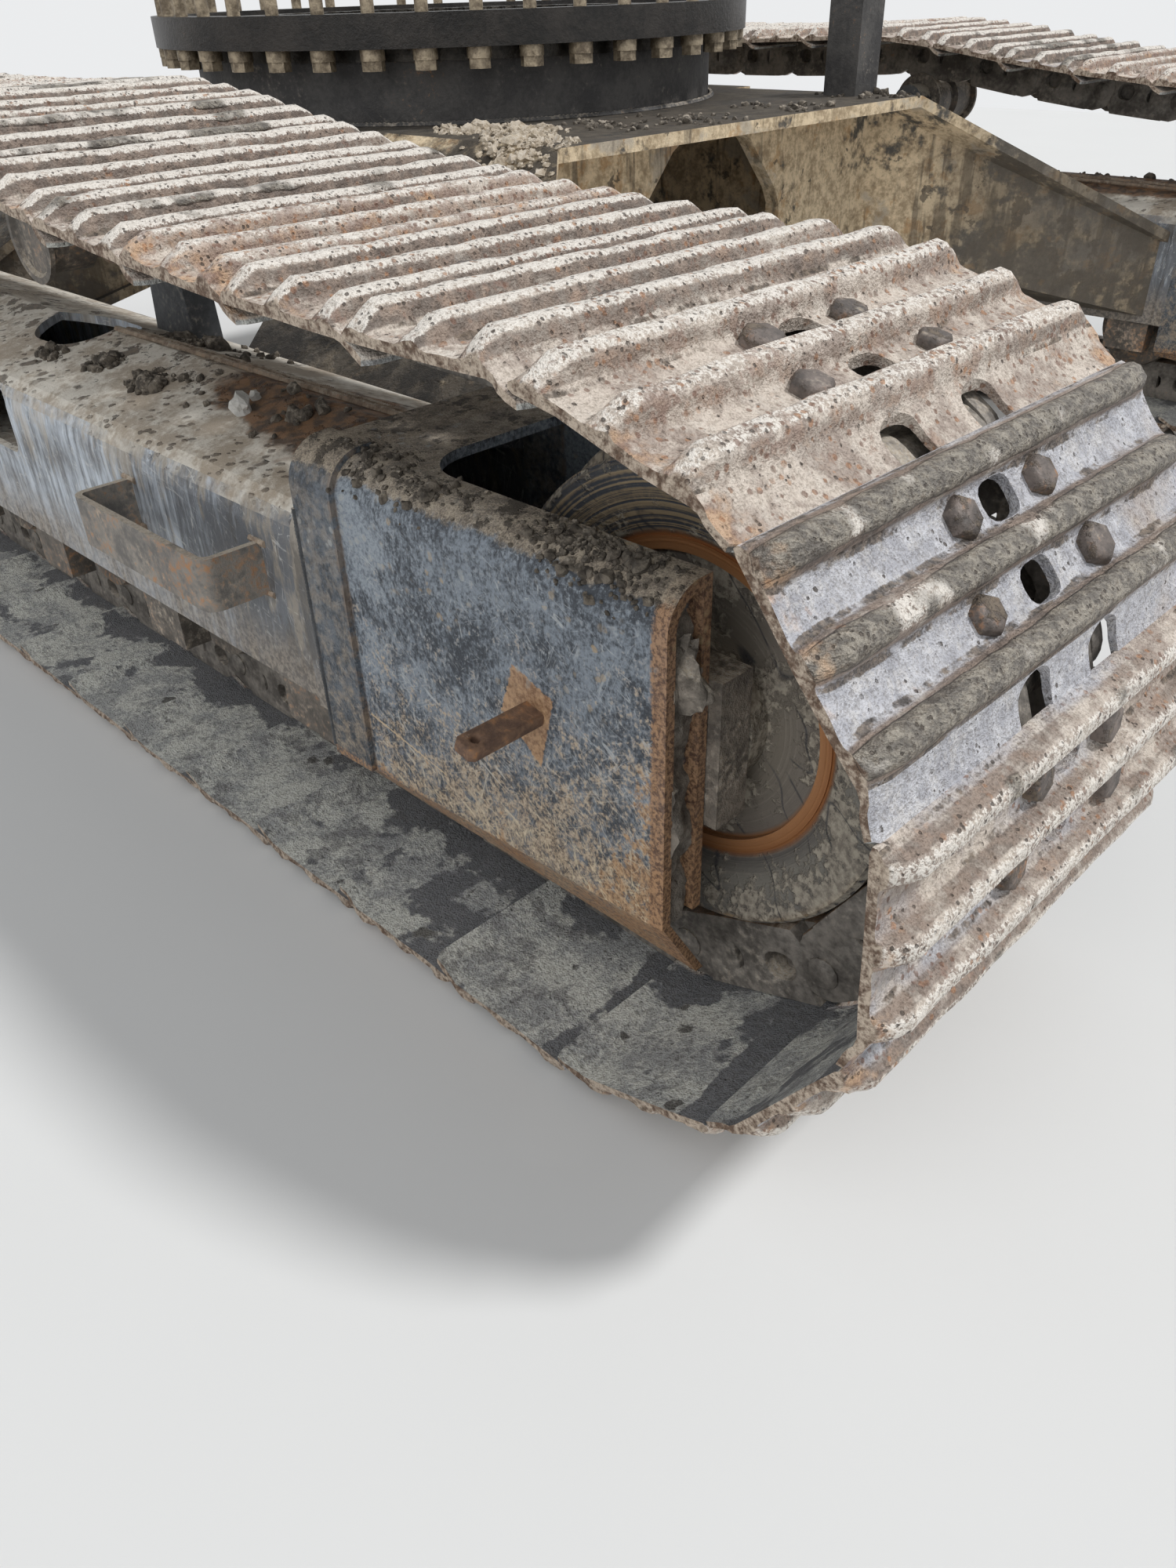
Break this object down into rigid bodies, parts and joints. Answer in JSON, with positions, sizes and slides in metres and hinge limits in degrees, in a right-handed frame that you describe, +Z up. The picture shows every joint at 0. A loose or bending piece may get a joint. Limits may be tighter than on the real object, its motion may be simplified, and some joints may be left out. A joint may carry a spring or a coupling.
{
  "type": "crawler excavator undercarriage",
  "caption": "Crawler undercarriage of an excavator: tracks with shoes, idlers, sprockets and rollers on box frames, joined by a carbody that carries a slewing ring.",
  "frame": {"origin": "on the slewing axis, at the ground under the shoes", "axes": "+X forward, towards the idlers; +Y left; +Z up along the slewing axis"},
  "size_m": [4.7445, 3.22, 1.05],
  "materials": {
    "shoe_steel": "worn grey steel with tan rust and dried mud",
    "wheel_steel": "worn, rusty between the rubbed treads",
    "frame_paint": "scratched dark paint under pale dust",
    "body_paint": "matt dark paint under olive-tan mud",
    "ring_steel": "dark and oily",
    "bolt_steel": "zinc, dulled",
    "rusty_steel": "orange-brown rust"
  },
  "bodies": {
    "undercarriage": {"track_right": "shoe_steel", "track_left": "shoe_steel", "idler_right": "wheel_steel", "idler_left": "wheel_steel", "idler_yoke_right": "frame_paint", "idler_yoke_left": "frame_paint", "sprocket_right": "wheel_steel", "sprocket_left": "wheel_steel", "final_drive_right": "frame_paint", "final_drive_left": "frame_paint", "track_frame_right": "frame_paint", "track_frame_left": "frame_paint", "idler_guard_right": "frame_paint", "idler_guard_left": "frame_paint", "track_rollers_right": "wheel_steel", "track_rollers_left": "wheel_steel", "carrier_rollers_right": "wheel_steel", "carrier_rollers_left": "wheel_steel", "carrier_brackets_right": "frame_paint", "carrier_brackets_left": "frame_paint", "step_right": "rusty_steel", "step_left": "rusty_steel", "stub_bar_right": "rusty_steel", "stub_bar_left": "rusty_steel", "deck": "body_paint", "belly": "body_paint", "carbody_webs": "body_paint", "leg_front_right": "body_paint", "leg_front_left": "body_paint", "leg_rear_right": "body_paint", "leg_rear_left": "body_paint", "pedestal": "body_paint", "slew_inner_ring": "ring_steel", "swivel_body": "frame_paint", "deck_post": "body_paint"},
    "slew": {"slew_outer_ring": "ring_steel", "slew_bolts": "bolt_steel"},
    "swivel": {"swivel_rotor": "ring_steel"}
  },
  "joints": [
    {"name": "swing", "type": "hinge", "parent": "undercarriage", "child": "slew", "pos_m": [0, 0, 0.96], "axis": [0, 0, 1], "continuous": true},
    {"name": "swivel_turn", "type": "hinge", "parent": "undercarriage", "child": "swivel", "pos_m": [0, 0, 0.9], "axis": [0, 0, 1], "continuous": true}
  ],
  "couplings": [
    {"joint": "swivel_turn", "follows": "swing", "ratio": 1}
  ]
}
